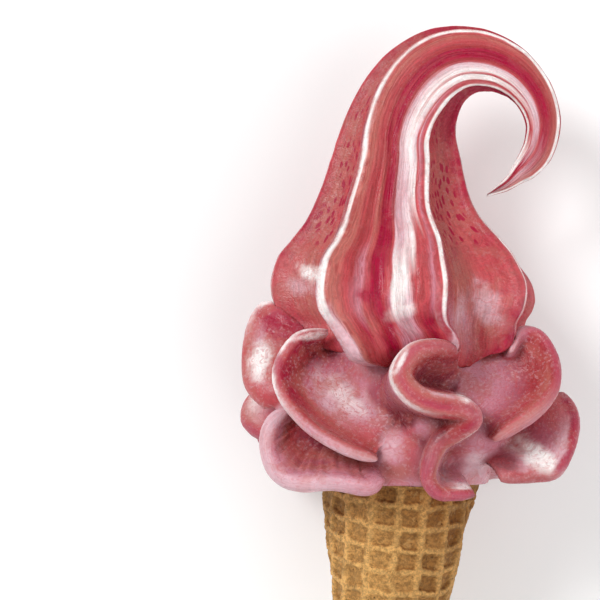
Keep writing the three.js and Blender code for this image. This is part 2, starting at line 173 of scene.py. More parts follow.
# Soft bulges between the folds: where, and the half sizes.
BULGES = [
    ([1, -12, 14], [15, 13, 16]),
    ([9, -2.5, 22], [13, 8, 13]),
    ([17, -7, 8], [15, 10, 21]),
]

# The folds round the back: like which one, turned round the axis, scaled and shifted along it.
BACK_FOLDS = [
    ("left_bowl", -168, 0.97, 0),
    ("front_scroll", -170, 0.97, 4),
    ("right_bowl", -172, 0.98, 0),
    ("far_left", 34, 0.92, 0),
    ("low_left_bowl", -166, 0.98, 0),
    ("low_right_bowl", -174, 0.95, 0),
]
BACK_TILT = 5

# The core under the folds: [along, radius, how far off the axis].
CORE = [
    [-21.5, 26.2, -2.3], [-19, 26.9, -2.3], [-15, 27, -2], [-8, 25, 0], [10, 24, 0], [20, 24, 0], [27, 22, 0],
]
CORE_OFFSET = -20.0
ABOVE_FLOOR = (-np.inf, -np.inf, 0)

# ---- colours

# The ice cream's own colour is this share of what the camera sees of it under the studio's light.
OWN_SHARE = 0.68
PALETTE = {
    # white stands for painted highlight, in places laid over the pale cream of a ridge or stripe
    "white": (1.14, 1.11, 1.10),
    "pale": (0.99, 0.81, 0.85),
    "pink": (0.91, 0.60, 0.67),
    "mauve": (0.79, 0.42, 0.49),
    "tan": (0.84, 0.47, 0.43),
    "coral": (0.87, 0.34, 0.37),
    "brick": (0.73, 0.24, 0.26),
    "crimson": (0.76, 0.03, 0.26),
    # the grey mauve below is painted shade: beside overhanging ridges, deep in bowls and in pockets
    "dusk": (0.69, 0.29, 0.35),
    # the dark red below is painted shade: in creases, gaps and where folds turn under
    "maroon": (0.48, 0.13, 0.17),
}

# Colour over a fold, at shares of the way along it: each colour with its places, in millimetres
# from the rim's middle, from the fold's floor over the rim to its back. The white bands are painted
# highlights; the grey mauve and dark red bands deep in the bowls, in creases and in the scroll's pocket
# are painted shade, and the brick band inside the left bowl's upper rim is partly painted shade.
FOLD_COLOURS = {
    "left_bowl": {
        0.15: "mauve -24 -15, maroon -13, brick -10 -6.4, crimson -5.2 -3, coral -2 -0.5, white 0.3 2.6, "
              "pink 6",
        0.42: "pink -30 -22, pale -19, pink -15, tan -12, brick -9, crimson -7 -4, coral -1.8, tan -0.3, "
              "white 0.4 2, pink 6",
        0.66: "pink -30, pale -24 -17, tan -13, coral -8, tan -5, coral -3, tan -1.6, pink -1, pale 2.5, "
              "mauve 6",
        0.95: "mauve -30, pink -22, tan -14, coral -8, tan -3, coral -1.8, tan -1.2, pale 1 3, mauve 8",
    },
    "front_scroll": {
        0: "dusk -12, brick -6, coral -3, crimson -0.6, coral 0.8, tan 1.8, white 2.6 4.6, pink 7, "
           "mauve 12",
        0.3: "dusk -12, brick -6, tan -3.6 -2, coral -0.8, crimson 0.6, coral 1.4, tan 2.6, "
             "white 3.4 4.8, pink 6, mauve 12",
        0.45: "dusk -10, tan -5.4, pale -3.4, tan -2, brick -0.8, crimson 0.2 1.2, coral 1.6, tan 2.8, "
              "brick 3.6, coral 5, maroon 8",
        0.56: "pink -9, white -4.4, coral -3.2, crimson -1, coral 1, brick 3, maroon 6",
        0.66: "mauve -9, tan -4, brick -1, maroon 2, brick 6",
        0.8: "mauve -10, pink -5, tan -3, brick -1.8, crimson -0.9 2.2, coral 3, tan 4, pale 5 12",
        0.9: "pale -10, pink -5, tan -3, brick -1.8, crimson -0.9 2, coral 3, pale 5, pink 12",
        0.94: "pink -10, white -4, coral -2.4, crimson -1, brick 1, maroon 2.5",
    },
    "right_bowl": {
        0.05: "mauve -20 -8, pink -3, pale 0, pink 6",
        0.22: "pink -20, dusk -15, brick -11 -6, crimson -2 0.8, white 1.6, pale 3, mauve 8",
        0.5: "pink -22, mauve -16, brick -11 -7, tan -4, brick -2.6, crimson -1 0.8, tan 1.4, pink 3, "
             "mauve 8",
        0.75: "pink -22, mauve -12, coral -7, tan -4, coral -2.2, tan -1.6 -1, pink 3, mauve 8",
        1: "dusk -20 -8, brick -4, coral -2.4, tan -1, mauve 4",
    },
    "far_left": {
        0.1: "crimson -20 -9, coral -5, white -2 3, mauve 8",
        0.5: "crimson -20, coral -15, tan -11, pale -8, tan -4, coral -1 2",
        0.95: "pink -20, coral -12 -5, tan -2, brick 1, crimson 5",
    },
    "low_far_left": {
        0: "pink -12, white -6, tan -3, coral 0, crimson 4",
        0.9: "coral -12 -5, crimson -2 1, brick 5",
    },
    "low_left_bowl": {
        0.2: "dusk -20, brick -14, tan -10, pink -7 -4, pale -1 3, pink 8",
        0.65: "dusk -20, tan -14, mauve -11, tan -8, pink -5, pale -1 3, pink 8",
        1: "mauve -20, tan -12, pink -8 -1, mauve 4",
    },
    "low_right_bowl": {
        0.1: "brick -20, coral -9 -5, crimson -3.4 4",
        0.4: "dusk -20, mauve -9, pale -5 -3.4, crimson -2.4 0.6, brick 4",
        0.75: "dusk -20, pink -10, pale -5, coral -3.6, pale -2.8, brick -2, crimson 1, maroon 4",
        1: "brick -20 -9, coral -4, tan -2, brick 0, maroon 4",
    },
    "core": {
        0: "pink -30 -8",
    },
}
FOLD_GRAIN = {
    "left_bowl": 0.74, "front_scroll": 0.65, "right_bowl": 0.6, "far_left": 0.6, "low_far_left": 0.5,
    "low_left_bowl": 0.5, "low_right_bowl": 0.45, "core": 0.5,
}
FOLD_WRINKLES = {"low_left_bowl": 0.6, "left_bowl": 0.12, "right_bowl": 0.08, "far_left": 0.25}

# Single dabs on the folds that show: colour, strength, across, along, half length, half width, degrees.
# The white dabs are painted highlights; the dark red dabs are painted shade in gaps and creases.
FOLD_DABS = {
    "low_right_bowl": [
        ("white", 1, 38.1, -13.2, 9.5, 4, -38), ("maroon", 0.7, 29, -15, 5, 3.5, 0),
        ("crimson", 1, 47.5, 3.5, 6, 2, -62), ("crimson", 1, 49, -6, 8, 1.6, 80),
        ("crimson", 0.9, 45.5, -15, 6, 1.7, 55), ("brick", 0.9, 34, -19, 10, 1.8, -2),
    ],
    "left_bowl": [
        ("white", 0.6, -20, 6, 9, 4, -42), ("coral", 0.6, -13.5, -6, 12, 4, -25),
        ("white", 1, -27.5, 23, 9, 1.2, 8), ("maroon", 0.6, -26, 18.5, 9, 3, -12),
        ("mauve", 0.6, -5, 4, 6, 5, 0), ("maroon", 0.9, -3, -2, 5, 2, 0),
        ("crimson", 0.85, -38.7, 14, 8, 2, 100),
    ],
    "far_left": [
        ("white", 0.95, -44.5, 15.5, 6.5, 3.6, 80), ("crimson", 0.9, -40, 25.5, 7, 3.4, -50),
        ("coral", 0.9, -43.5, 4, 6, 3, -45), ("white", 0.9, -43.5, 34, 4, 2.6, 0),
    ],
    "core": [
        # the first pale dab is a painted highlight on the bulge
        ("pale", 0.7, -6.5, -9, 5, 7, 15), ("tan", 0.8, -5, -17.5, 8, 3.5, 0),
        ("coral", 0.7, 0.5, -10, 3, 9, 10), ("maroon", 1, -2.4, -2, 7, 2.6, 0),
        ("mauve", 0.95, 12.5, -12, 7, 10, 0), ("pale", 0.8, 20, -16, 6, 5, -20),
        ("maroon", 0.9, 22.5, 18.3, 7, 4, 0),
    ],
    "front_scroll": [
        ("crimson", 0.9, 15, -24.6, 8, 1.6, -6), ("maroon", 0.9, 20, -25, 3, 1.6, 0),
        ("maroon", 0.8, -2, -1.5, 5, 2, 0), ("white", 1, 15.6, 4.6, 2.2, 1.1, -35),
        ("white", 0.9, -2.5, 16, 4.5, 0.9, 62), ("maroon", 0.9, 22.5, 18.3, 6, 3, 0),
    ],
    "right_bowl": [
        ("crimson", 0.85, 44, 17, 9, 1.4, 95), ("crimson", 0.8, 40.5, 29, 5, 1.5, -45),
        ("pink", 0.75, 18, 10, 9, 5, 25), ("pink", 0.9, 30, 23, 4, 5, 60),
        ("maroon", 0.9, 22.5, 18.3, 6, 3, 0),
    ],
}

# Colour across the plume's channels, at rises: each colour with its places in hundredths of the way across.
# The grey mauve beside ridge 1 in channel 0 and beside ridge 2 in channel 2 is painted shade behind those
# overhanging ridges; the white in the front face's pale band is a pale stripe of cream with a painted
# highlight on it.
CHANNEL_COLOURS = {
    0: {
        0.2: "crimson 0, coral 30, pink 60, coral 100",
        0.42: "coral 0, tan 20, pink 60, pale 100",
        0.52: "coral 0, tan 20, coral 50, brick 80, dusk 100",
        0.7: "crimson 0, tan 10, coral 30, tan 50, coral 70, dusk 85 100",
        1: "coral 0, tan 10, coral 40, tan 60, dusk 75 100",
        1.3: "crimson 0, coral 30, tan 60, crimson 80, coral 100",
    },
    1: {
        0.2: "pale 0, tan 5, brick 10, coral 15 25, crimson 30 40, coral 44, pink 50 64, coral 72, "
             "brick 82, crimson 90, coral 97, pale 100",
        0.3: "pale 0, tan 5, coral 12, crimson 18, tan 22, coral 34, crimson 38 46, coral 50, pink 55, "
             "pale 66, pink 76, coral 81, crimson 87 95, brick 98, pale 100",
        0.41: "tan 0 5, coral 13, pink 20, coral 27, crimson 31 41, coral 45, pink 52, white 57 68, "
              "pale 76, coral 82 93, pink 97, coral 100",
        0.48: "tan 0 5, coral 11, brick 16, pink 24, coral 31, crimson 32.5 46, coral 47.5 57.5, "
              "white 59.5 74, coral 78 93, pink 97, coral 100",
        0.62: "tan 0 8, brick 13, coral 22, tan 28, coral 33, crimson 34.5 51, brick 52.5, coral 57, "
              "pale 59 70, white 82, coral 86 96, pink 98, coral 100",
        0.77: "tan 0 3, coral 9, brick 15, coral 23, tan 30, coral 34, crimson 35 53, dusk 54.5, "
              "brick 61, pale 63 80, white 93, coral 94.5 97.5, pink 98.5, coral 100",
        1: "tan 0 5, coral 16, brick 26, crimson 31, coral 37, crimson 40 50, brick 53 57, pale 59, "
           "white 84, pale 92, coral 93.5 95.5, pale 96.5, pink 98, coral 100",
        1.3: "coral 0, tan 5, coral 14, brick 26, crimson 30 49, brick 53, coral 60, pale 63, white 79, "
             "coral 81 84, white 86 94, brick 95, coral 97 100",
        1.65: "coral 0, tan 8, brick 20, crimson 32 54, coral 60, pale 68 84, coral 88 100",
        1.85: "tan 0, pale 50, coral 60, crimson 70 84, white 90 100",
    },
    2: {
        0.15: "dusk 0, brick 20, coral 50, brick 80, crimson 100",
        0.32: "dusk 0, mauve 10, pink 25, pale 50, pink 66, tan 80 92, crimson 100",
        0.45: "dusk 0 15, tan 35 60, coral 80 100",
        0.9: "dusk 0 25, tan 40, coral 60, tan 80, crimson 100",
        1.2: "coral 0, crimson 40 100",
    },
}
OTHER_CHANNELS = {0: "coral 0, tan 30, coral 60, crimson 85, coral 100"}
CHANNEL_GRAIN = [0.8, 0.2, 0.8, 0.8, 0.8, 0.8, 0.8]

# Single dabs on the plume's channels, as on the folds. The white and pale dabs are painted highlights.
PLUME_DABS = {
    0: [("white", 0.95, -27.5, 41.2, 7, 2.8, -14), ("pale", 0.6, -33, 38, 5, 3, -20)],
    2: [("pale", 0.8, 23, 32.5, 8.5, 4.2, -65)],
    1: [
        ("white", 0.9, -3.2, 38, 8, 2.2, 90), ("crimson", 0.9, 10.6, 27, 6.5, 1.9, -75),
        ("crimson", 0.9, -13, 34.6, 3.4, 2.2, -30), ("white", 0.6, -2, 30.5, 5, 2.4, 20),
    ],
}

# Half the width of the white line along a ridge, in millimetres: [rise, half width]. The line is the pale
# cream of the ridge's edge with a painted highlight on it.
RIDGE_LINES = {
    1: [[0.15, 2.9], [0.26, 2.8], [0.35, 1.7], [0.48, 1.0],
        [0.77, 0.75], [1.2, 0.6], [1.5, 0.95], [1.85, 0.7]],
    2: [[0.2, 0.4], [0.5, 0.6], [0.77, 0.75], [1.0, 0.7], [1.5, 0.55], [1.9, 0.4]],
    3: [[0.2, 0.1], [0.4, 0.25], [0.6, 0.4], [0.8, 0.2]],
}
OTHER_LINES = [[0, 0.15]]


# ---- numbers


def mix(a, b, share):
    return a + (b - a) * share


def smoothstep(x, low, high):
    t = np.clip((x - low) / (high - low), 0, 1)
    return t * t * (3 - 2 * t)


def hump(x, middle, width):
    """1 at the middle, falling off to nothing about two widths away."""
    return np.exp(-(((x - middle) / width) ** 2))


def smooth_line(points, count):
    """A smooth line through points, sampled at count places."""
    points = np.asarray(points, float)
    padded = np.vstack([2 * points[0] - points[1], points, 2 * points[-1] - points[-2]])
    place = np.linspace(0, len(points) - 1, count)
    first = np.minimum(place.astype(int), len(points) - 2)
    t = (place - first)[:, None]
    p0, p1, p2, p3 = (padded[first + i] for i in range(4))
    bend = 2 * p0 - 5 * p1 + 4 * p2 - p3
    return 0.5 * (2 * p1 + (p2 - p0) * t + bend * t**2 + (3 * (p1 - p2) + p3 - p0) * t**3)


def running_length(points):
    """How far along a line each of its points lies."""
    return np.concatenate([[0], np.cumsum(np.linalg.norm(np.diff(points, axis=0), axis=1))])


def unit(vectors):
    return vectors / np.maximum(np.linalg.norm(vectors, axis=-1, keepdims=True), 1e-9)


def noise(points, seed=0):
    """Smooth noise between -1 and 1, the same on every run."""
    cell = np.floor(points).astype(np.int64)
    part = points - cell
    part = part * part * (3 - 2 * part)
    total = 0
    for corner in np.ndindex(2, 2, 2):
        key = (cell + corner) @ np.array([73856093, 19349663, 83492791]) + seed * 40503
        key = (key ^ (key >> 13)) * 1274126177 & 0xFFFFFFFF
        value = ((key ^ (key >> 15)) & 0xFFFF) / 32767.5 - 1
        total = total + value * np.prod(np.where(corner, part, 1 - part), axis=-1)
    return total


def turbulence(points, octaves=3, seed=0):
    return sum(noise(points * 2**i, seed + i) / 2**i for i in range(octaves))


def linear(colour):
    """A screen colour as light."""
    c = np.asarray(colour, float)
    return np.where(c <= 0.04045, c / 12.92, ((c + 0.055) / 1.055) ** 2.4)


def rgba(colour):
    return (*linear(colour), 1.0)


def paint(name):
    """A colour of the palette as the ice cream's own colour under the studio's light."""
    return linear(PALETTE[name]) * OWN_SHARE


def gradient(row, x):
    """Colours along a row such as "mauve -24 -15, maroon -13"."""
    groups = [group.split() for group in row.split(",")]
    stops = [(float(place), *paint(name)) for name, *places in groups for place in places]
    places, *channels = zip(*stops)
    return np.stack([np.interp(x, places, channel) for channel in channels], axis=-1)


def banded(rows, place, x):
    """Colours from rows that blend into each other from one place to the next."""
    sheets = np.stack([gradient(row, x) for row in rows.values()])
    row = np.interp(place, list(rows), np.arange(len(rows)))
    low = row.astype(int)
    high = np.minimum(low + 1, len(rows) - 1)
    here = np.arange(len(x))
    return mix(sheets[low, here], sheets[high, here], (row - low)[:, None])


def dabbed(colours, points, kinds, dabs):
    """Adds single dabs to the side that shows, with ragged edges: the ripple's colour, painted highlights and
    painted shade.
    """
    table = points / MM + (0, REST_ALONG, -AXIS_HEIGHT)
    ragged = 0.25 * turbulence(table * 0.4, 3, 61) + 0.12 * noise(table * 2.2, 64)
    for kind in dabs:
        showing = (kinds == kind) * (table[:, 2] > 0)
        for colour, strength, across, along, long, wide, degrees in dabs[kind]:
            turn = math.radians(degrees)
            x, y = table[:, 0] - across, table[:, 1] - along
            u = (x * math.cos(turn) + y * math.sin(turn)) / long
            v = (y * math.cos(turn) - x * math.sin(turn)) / wide
            share = smoothstep(1.25 - np.hypot(u, v) + ragged, 0, 0.9) * strength * showing
            colours = mix(colours, paint(colour), share[:, None])
    return colours


# ---- meshes


def placed(points):
    """From the tables' millimetres to the frame's metres."""
    return (np.asarray(points, float).reshape(-1, 3) + (0, -REST_ALONG, AXIS_HEIGHT)) * MM


def loft_faces(rows, around):
    """The faces of a closed skin through rows of points, with a point at each end to fan over."""
    start_hub, end_hub = rows * around, rows * around + 1
    last = (rows - 1) * around
    faces = []
    for j in range(around):
        k = (j + 1) % around
        faces += [(i + j, i + k, i + around + k, i + around + j) for i in range(0, last, around)]
        faces += [(start_hub, k, j), (end_hub, last + j, last + k)]
    return faces


def loft(grid):
    """Vertices and faces of a closed skin through a grid of points, facing out."""
    rows, around = grid.shape[:2]
    vertices = np.vstack([grid.reshape(-1, 3), grid[0].mean(axis=0), grid[-1].mean(axis=0)])
    faces = loft_faces(rows, around)
    corners = vertices[np.array([face[:3] for face in faces])]
    sixth_volumes = np.einsum("ij,ij->i", corners[:, 0], np.cross(corners[:, 1], corners[:, 2]))
    if sixth_volumes.sum() < 0:
        faces = [face[::-1] for face in faces]
    return vertices, faces


def lofted(name, grid):
    """A piece with a closed skin through a grid of points."""
    vertices, faces = loft(grid)
    return new_object(name, placed(vertices), faces)


def with_ends(values):
    """A value for each point of a grid, and for the two points that close its skin."""
    return np.vstack([values, values[:1], values[-1:]])


def turned(along, radius, across=0, around=64):
    """A grid round the Y axis through places along it, with their radii."""
    turn = np.linspace(0, 2 * np.pi, around, endpoint=False)[None, :]
    return np.stack([across + radius * np.cos(turn), along + 0 * turn, radius * np.sin(turn)], axis=-1)


def ball(at, size):
    """A grid of a ball that is stretched to the half sizes."""
    up = np.linspace(-np.pi / 2, np.pi / 2, 26)[1:-1, None]
    return turned(np.sin(up), np.cos(up), around=36)[..., [0, 2, 1]] * size + at


def turning(degrees, first, second):
    """The matrix that turns from one axis towards another."""
    matrix = np.eye(3)
    matrix[[first, second], [first, second]] = math.cos(math.radians(degrees))
    matrix[[second, first], [first, second]] = math.sin(math.radians(degrees)) * np.array([1, -1])
    return matrix


def new_object(name, vertices, faces):
    mesh = bpy.data.meshes.new(name)
    mesh.from_pydata(np.asarray(vertices).tolist(), [], faces)
    mesh.update()
    piece = bpy.data.objects.new(name, mesh)
    bpy.context.scene.collection.objects.link(piece)
    return piece


def finish_piece(piece, node, slot, material, **values):
    """Gives a piece its material and the values that it reads, and makes it stand for its CAD node."""
    mesh = piece.data
    for name, rows in values.items():
        if rows.shape[1] == 4:
            mesh.color_attributes.new(name, "FLOAT_COLOR", "POINT").data.foreach_set("color", rows.ravel())
        else:
            mesh.attributes.new(name, "FLOAT_VECTOR", "POINT").data.foreach_set("vector", rows.ravel())
    mesh.materials.clear()
    mesh.materials.append(material)
    mesh.polygons.foreach_set("use_smooth", [True] * len(mesh.polygons))
    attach(piece, "root")
    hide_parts(node)


def apply_modifiers(piece):
    depsgraph = bpy.context.evaluated_depsgraph_get()
    mesh = bpy.data.meshes.new_from_object(piece.evaluated_get(depsgraph))
    piece.modifiers.clear()
    piece.data = mesh


def points_of(piece, what="co"):
    """A piece's points, or their normals."""
    values = np.empty(len(piece.data.vertices) * 3)
    piece.data.vertices.foreach_get(what, values)
    return values.reshape(-1, 3)


def move_points(piece, points):
    piece.data.vertices.foreach_set("co", np.asarray(points).ravel())
    piece.data.update()


def relax(piece, values, rounds):
    """Smooths values over the edges of a mesh."""
    edges = np.empty(len(piece.data.edges) * 2, int)
    piece.data.edges.foreach_get("vertices", edges)
    a, b = edges.reshape(-1, 2).T
    ends, others = np.concatenate([a, b]), np.concatenate([b, a])
    values = np.array(values, float)
    count = np.maximum(np.bincount(ends, minlength=len(values)), 1)
    for _ in range(rounds):
        for column in values.T:
            column += 0.5 * (np.bincount(ends, column[others], len(column)) / count - column)
    return values


def hollows(piece, rounds):
    """How far each point lies under the smoothed surface, in millimetres: over 0 in a crease."""
    points = points_of(piece)
    return np.einsum("ij,ij->i", relax(piece, points, rounds) - points, points_of(piece, "normal")) / MM


def paint_crease_shade_and_crest_highlight(colours, hollow):
    """Painted shade, darker in the creases, and a painted highlight, paler on the crests."""
    colours = mix(colours, paint("maroon"), smoothstep(hollow, 0.2, 1.9)[:, None] * 0.6)
    return mix(colours, paint("pale"), smoothstep(-hollow, 0.4, 2.0)[:, None] * 0.2)


# ---- materials


class Nodes:
    """A short way to write a node tree. Inputs are given by name or by number."""

    def __init__(self, name):
        self.material = bpy.data.materials.new(name)
        self.material.use_nodes = True
        self.tree = self.material.node_tree

    def plug(self, node, inputs):
        for name, value in inputs.items():
            if isinstance(value, bpy.types.NodeSocket):
                self.tree.links.new(value, node.inputs[name])
            else:
                node.inputs[name].default_value = value
        return node.outputs

    def add(self, kind, inputs=None, **settings):
        node = self.tree.nodes.new("ShaderNode" + kind)
        for name, value in settings.items():
            setattr(node, name, value)
        return self.plug(node, inputs or {})

    def surface(self, inputs):
        self.plug(self.tree.nodes["Principled BSDF"], inputs)
        return self.material

    def attribute(self, name):
        return self.add("Attribute", attribute_name=name)

    def vector(self, operation, a, b):
        return self.add("VectorMath", {0: a, 1: b}, operation=operation)[0]

    def math(self, operation, a, b):
        return self.add("Math", {0: a, 1: b}, operation=operation)[0]

    def times(self, a, b):
        return self.math("MULTIPLY", a, b)

    def noise(self, vector, scale, detail=3.0, roughness=0.55):
        inputs = {"Vector": vector, "Scale": scale, "Detail": detail, "Roughness": roughness}
        return self.add("TexNoise", inputs)["Fac"]

    def strokes(self, flow, along, across, apart=1.0):
        """Noise that is drawn out along or across the way the ice cream flowed."""
        return self.noise(self.vector("MULTIPLY", flow, (along, across, apart)), 1.0, 2.0)

    def remap(self, value, low, high, to_low=0.0, to_high=1.0):
        inputs = {"Value": value, "From Min": low, "From Max": high, "To Min": to_low, "To Max": to_high}
        return self.add("MapRange", inputs, interpolation_type="SMOOTHSTEP")["Result"]

    def blend(self, share, a, b, mode="MIX"):
        return self.add("Mix", {0: share, 6: a, 7: b}, data_type="RGBA", blend_type=mode)[2]

    def bump(self, height, strength, distance):
        return self.add("Bump", {"Height": height, "Strength": strength, "Distance": distance})["Normal"]


def ice_cream_material(name, looks):
    """Moist ice cream: the ripple's colours, painted highlights and shade among them, with fine strokes, pale
    and red specks, pits and a soft depth.
    """
    n = Nodes(name)

    def tinted(colour, tint, share):
        return n.blend(share, colour, (*paint(tint), 1.0))

    ripple = n.attribute("ripple")
    grain = ripple["Alpha"]
    place = n.add("TexCoord")["Object"]
    drift = n.add("TexNoise", {"Vector": place, "Scale": 240.0, "Detail": 1.0})["Color"]
    flow = n.vector("ADD", n.attribute("flow")["Vector"], n.vector("MULTIPLY", drift, (0.003, 0.0012, 0.0)))
    fleck_cells = n.vector("MULTIPLY", flow, (230.0, 430.0, 1.0))
    flow = n.vector("ADD", flow, n.vector("MULTIPLY", drift, (0.017, 0.0, 0.0)))
    lengthwise = n.times(n.strokes(flow, 130.0, 2100.0), n.math("SUBTRACT", 1.0, grain))
    stroke = n.math("ADD", lengthwise, n.times(n.strokes(flow, 1500.0, 420.0), grain))
    cloud = n.noise(place, 170.0)
    crumb = n.noise(place, 1050.0, 2.0, 0.6)

    tone = n.remap(stroke, 0.3, 0.7, 1 - 0.22 * looks.streaks, 1 + 0.2 * looks.streaks)
    colour = n.blend(1.0, ripple["Color"], tone, "MULTIPLY")
    colour = tinted(colour, "tan", n.times(n.remap(cloud, 0.47, 0.6, 0.0, 0.75), grain))
    red_specks = n.remap(n.strokes(flow, 620.0, 900.0, 3.0), 0.52, 0.62, 0.0, 0.65)
    colour = tinted(colour, "coral", n.times(red_specks, grain))
    dark = n.remap(n.add("RGBToBW", {"Color": ripple["Color"]})[0], 0.45, 0.27)
    hairs = n.remap(n.strokes(flow, 80.0, 1300.0), 0.5, 0.64, 0.0, 0.6 * looks.streaks)
    colour = tinted(colour, "brick", n.times(hairs, n.math("MAXIMUM", n.math("SUBTRACT", dark, grain), 0.0)))
    crumbs = n.times(n.remap(crumb, 0.53, 0.63, 0.0, looks.crumbs), n.remap(cloud, 0.4, 0.55, 0.3, 1.0))
    colour = tinted(colour, "pale", n.times(crumbs, grain))
    fleck = n.add("TexVoronoi", {"Vector": fleck_cells, "Scale": 1.0}, voronoi_dimensions="2D")["Distance"]
    rare = n.times(n.remap(n.noise(place, 130.0, 1.0), 0.38, 0.5), n.remap(grain, 0.74, 0.8))
    colour = tinted(colour, "crimson", n.times(n.remap(fleck, 0.3, 0.2, 0.0, 0.95), rare))

    pits = n.times(n.noise(place, 1900.0, 2.0, 0.6), 0.7)
    relief = n.math("ADD", n.math("ADD", pits, n.times(crumb, 0.5)), n.times(stroke, 0.6))
    return n.surface({
        "Base Color": colour,
        "Roughness": n.remap(n.noise(place, 260.0), 0.3, 0.7, looks.wettest, looks.driest),
        "Normal": n.bump(relief, 0.45, 0.0004),
        "Specular IOR Level": 0.27,
        "Subsurface Weight": looks.depth,
        "Subsurface Radius": (0.004, 0.0018, 0.0016),
        "Subsurface Scale": 0.6,
    })


def wafer_material(looks):
    """Baked wafer: browner in the pockets, browner under the ruffle from toast and painted shade, darker to
    the right as painted shade, crumbly, with dark pores.
    """
    n = Nodes("baked_wafer")
    place = n.add("TexCoord")["Object"]
    grain = n.noise(place, 900.0, 6.0, 0.75)
    blotch = n.noise(place, 420.0, 5.0, 0.7)
    colour = n.blend(1.0, n.attribute("toast")["Color"], n.remap(grain, 0.37, 0.63, 0.66, 1.3), "MULTIPLY")
    colour = n.blend(n.remap(n.noise(place, 140.0), 0.45, 0.7, 0.0, 0.3), colour, rgba(looks.brown))
    colour = n.blend(n.remap(blotch, 0.54, 0.66, 0.0, 0.55), colour, rgba(looks.brown))
    colour = n.blend(n.remap(blotch, 0.46, 0.36, 0.0, 0.35), colour, rgba(looks.golden))
    pore = n.add("TexVoronoi", {"Vector": place, "Scale": 700.0, "Randomness": 1.0})["Distance"]
    pore = n.times(n.remap(pore, 0.22, 0.12), n.remap(n.noise(place, 260.0, 2.0), 0.54, 0.66))
    relief = n.math("SUBTRACT", n.math("ADD", grain, n.times(blotch, 1.5)), pore)
    return n.surface({
        "Base Color": n.blend(n.times(pore, 0.7), colour, rgba(looks.scorched)),
        "Roughness": n.remap(grain, 0.3, 0.7, 0.62, 0.9),
        "Normal": n.bump(relief, 1.0, 0.0012),
        "Specular IOR Level": 0.3,
    })


# ---- the plume


def plume_stations(count):
    """Along the plume: the axis, the way that points to the curl's centre, the radius and the rise."""
    stem = [[across, along, above, radius, 180] for along, across, above, radius in STEM]
    bearing, distance, radius = smooth_line(CURL, CURL_POINTS).T
    across = CURL_CENTRE[0] + distance * np.cos(np.radians(bearing))
    along = CURL_CENTRE[1] + distance * np.sin(np.radians(bearing))
    on_curl = np.stack([across, along, 0 * along, radius, bearing], axis=1)
    line = smooth_line(np.vstack([stem, on_curl]), count)
    rise = np.linspace(0, 1, count) * (len(stem) + len(on_curl) - 1) / (len(stem) - 1)
    reach = int(count * NECK_BLEND)
    padded = np.pad(line, ((reach, reach), (0, 0)), mode="edge")
    blended = np.mean([padded[i : i + count] for i in range(2 * reach + 1)], axis=0)
    line = mix(line, blended, hump(rise, 1.04, 0.17)[:, None])
    bearing = np.radians(line[:, 4])
    inward = np.stack([-np.cos(bearing), -np.sin(bearing), 0 * bearing], axis=1)
    return line[:, :3], inward, np.maximum(TIP_RADIUS, line[:, 3]), rise


def ridge_angles(rise):
    """The angle of each ridge at each station, in radians, with the first one again at the end."""
    angles = np.array(RIDGES[0][1], float)[None, :]
    for (low, before), (high, after) in zip(RIDGES, RIDGES[1:]):
        angles = angles + smoothstep(rise, low, high)[:, None] * (np.array(after) - np.array(before))
    angles = np.radians(angles)
    return np.hstack([angles, angles[:, :1] - 2 * math.pi])


def hem(channel, share):
    lifts = HEM.get(channel, [HEM_ELSEWHERE])
    return np.interp(share, np.linspace(0, 1, len(lifts)), lifts)


def plume_grid(stations_count, edge_count, fineness=1.0, grow=0.0):
    """The plume's points; for each column its channel, its share of the way across and its nearest ridge; the
    way to that ridge for each point, in millimetres; and the rise of each row."""
    axis, inward, radius, rise = plume_stations(stations_count)
    angles = ridge_angles(rise)
    count = len(CHANNEL_DEPTH)
    slimness = np.minimum(1, radius / FULL_EDGE_RADIUS)
    columns = []
    for ridge in range(count):
        here, after = angles[:, ridge], angles[:, ridge + 1]
        blunt = RIDGE_EDGE[ridge] * slimness + MIN_EDGE
        edge = np.minimum(MAX_EDGE_SHARE * np.abs(after - here), blunt / radius)
        for t in np.linspace(-1, 1, edge_count, endpoint=False):
            side = (ridge, 0.0) if t >= 0 else ((ridge - 1) % count, 1.0)
            reach = radius + 0.35 * (1 - t * t) * slimness
            columns.append((*side, ridge, here - t * edge, reach, abs(t) * edge * radius))
        width = (np.abs(after - here) - 2 * edge) * radius
        for a in np.linspace(0, 1, int(CHANNEL_POINTS[ridge] * fineness), endpoint=False):
            hollow = radius * CHANNEL_DEPTH[ridge] * math.sin(math.pi * a) ** CHANNEL_SHAPE[ridge]
            hollow = hollow + (channel_relief(a, rise) if ridge == FRONT_CHANNEL else 0)
            nearest = ridge if a < 0.5 else (ridge + 1) % count
            gap = edge * radius + min(a, 1 - a) * width
            columns.append((ridge, a, nearest, mix(here - edge, after + edge, a), radius - hollow, gap))
    channels, shares, ridges, angle, reach, gaps = map(np.array, zip(*columns))
    angle, reach = angle.T[:, :, None], reach.T[:, :, None] + grow
    forward = np.array([0.0, 0.0, 1.0])
    grid = axis[:, None, :] + inward[:, None, :] * reach * np.cos(angle) + forward * reach * np.sin(angle)
    lift = np.array([hem(channel, share) for channel, share in zip(channels, shares)])
    grid[:, :, 1] += lift[None, :] * (1 - smoothstep(rise, *HEM_RISE))[:, None]
    return grid, channels, shares, ridges, gaps.T, rise


def channel_relief(a, rise):
    """The grooves and ribs that the nozzle leaves along the front face, in millimetres of depth."""
    groove = 1.1 * hump(a, 0.40, 0.07) + 0.5 * hump(a, 0.19, 0.05) + 0.5 * hump(a, 0.88, 0.035)
    rib = 1.3 * hump(a, 0.71, 0.075) + 0.4 * hump(a, 0.29, 0.04)
    return (groove - rib) * np.clip(1.6 - rise, 0.15, 1)


